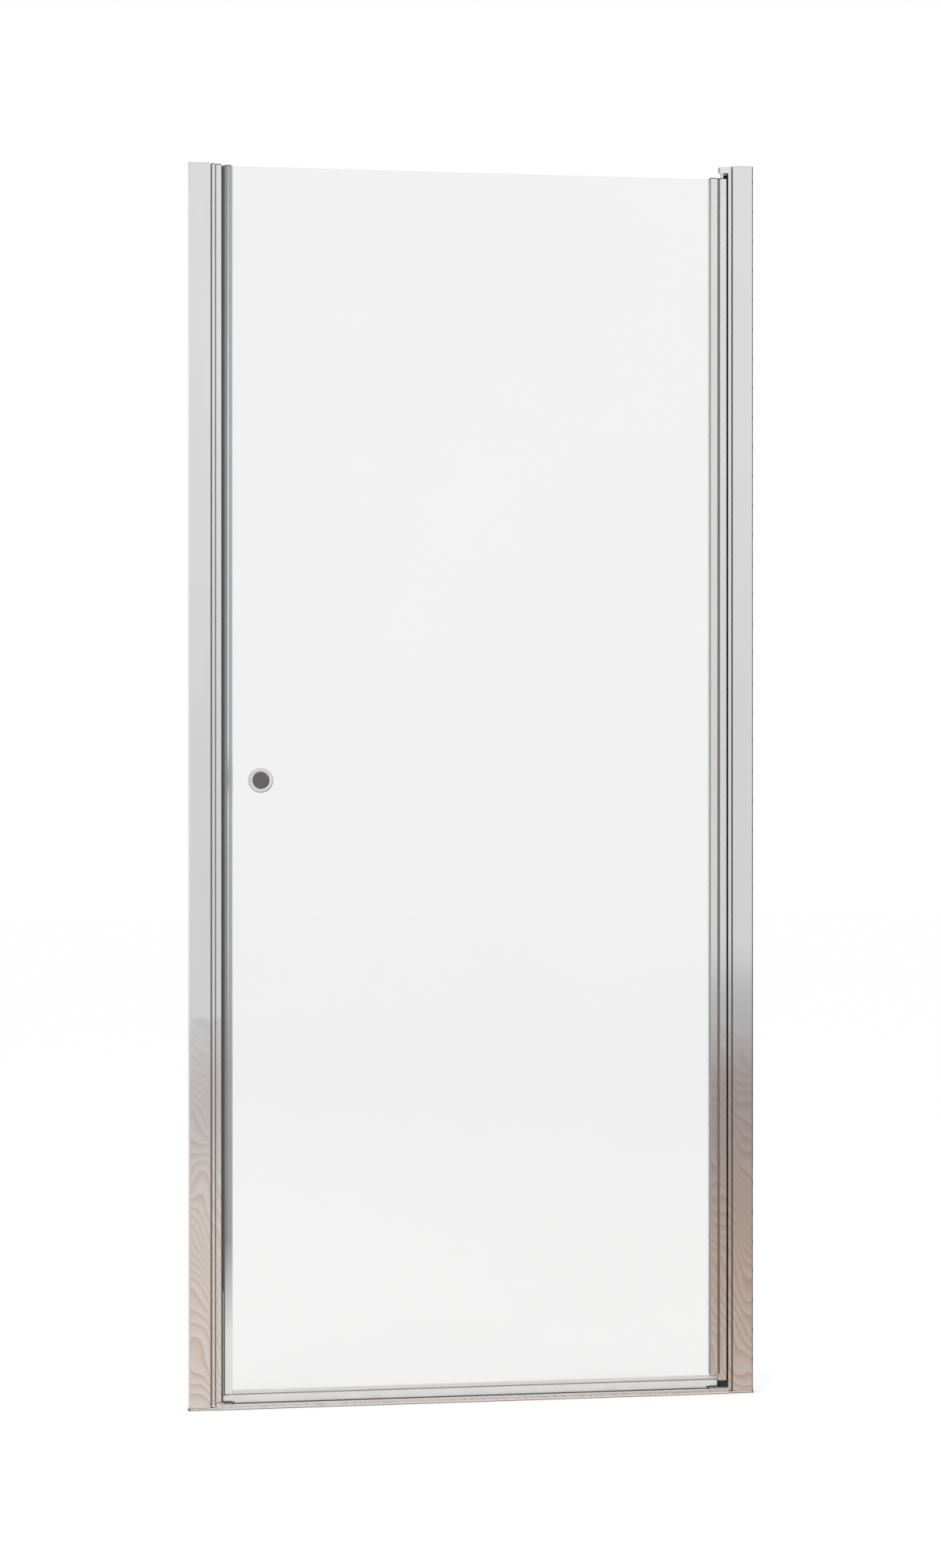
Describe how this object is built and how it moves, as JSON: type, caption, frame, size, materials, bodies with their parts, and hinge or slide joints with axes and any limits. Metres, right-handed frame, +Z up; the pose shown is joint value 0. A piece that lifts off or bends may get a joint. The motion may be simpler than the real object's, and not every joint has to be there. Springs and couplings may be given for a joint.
{
  "type": "pivot shower door",
  "caption": "Frameless glass leaf on a pivot stile between two telescoping jambs, with sill, magnet seal and round knobs.",
  "frame": {"origin": "on the wall face of the hinge jamb, in the middle of its depth, at the level that the sill rests on", "axes": "+X into the hinge wall, -Y to the room outside the shower, +Z up"},
  "size_m": [0.9, 0.028, 1.95],
  "materials": {
    "bright_aluminium": "polished bright anodised extrusion",
    "chrome": "mirror chrome plating",
    "clear_glass": "clear toughened safety glass",
    "clear_seal": "smoky clear flexible plastic",
    "magnet_strip": "dark magnetic rubber in a glossy sleeve",
    "drip_seal": "pale flexible plastic",
    "moulded_grey": "plated moulded plastic",
    "black_plastic": "black moulded plastic",
    "dark_rubber": "dark soft rubber",
    "dark_inlay": "dark grey inlay",
    "steel": "stainless steel",
    "white_plastic": "white low friction plastic"
  },
  "bodies": {
    "frame": {"strike_wall_channel": "bright_aluminium", "strike_wall_cap": "moulded_grey", "strike_adjusting_profile": "bright_aluminium", "strike_magnet_holder": "bright_aluminium", "strike_head_cap": "black_plastic", "strike_holder_cap": "black_plastic", "strike_magnet": "magnet_strip", "hinge_wall_channel": "bright_aluminium", "hinge_wall_cap": "moulded_grey", "hinge_adjusting_profile": "bright_aluminium", "hinge_gasket": "dark_rubber", "top_pivot_bracket": "chrome", "top_pivot_pin": "chrome", "bottom_pivot_bearing": "black_plastic", "bottom_pivot_pin": "steel", "sill_bar": "bright_aluminium", "strike_sill_end": "chrome", "hinge_sill_end": "chrome", "strike_sill_plate": "moulded_grey", "hinge_sill_plate": "moulded_grey", "strike_toe_plug": "black_plastic", "hinge_toe_plug": "black_plastic"},
    "leaf": {"glass_panel": "clear_glass", "pivot_stile": "bright_aluminium", "pivot_stile_cap": "black_plastic", "front_glazing_gasket": "dark_rubber", "back_glazing_gasket": "dark_rubber", "top_pivot_bush": "white_plastic", "bottom_pivot_bush": "white_plastic", "magnet_seal": "clear_seal", "leaf_magnet": "magnet_strip", "drip_seal_grip": "drip_seal", "drip_seal_band": "drip_seal", "knob_outside": "chrome", "knob_inside": "chrome", "knob_inlay_outside": "dark_inlay", "knob_inlay_inside": "dark_inlay", "knob_washer_outside": "dark_rubber", "knob_washer_inside": "dark_rubber", "knob_bolt": "steel"}
  },
  "joints": [
    {"name": "door_swing", "type": "hinge", "parent": "frame", "child": "leaf", "pos_m": [-0.049, -0.006, 0.976], "axis": [0, 0, 1], "range_deg": [0, 90]}
  ]
}
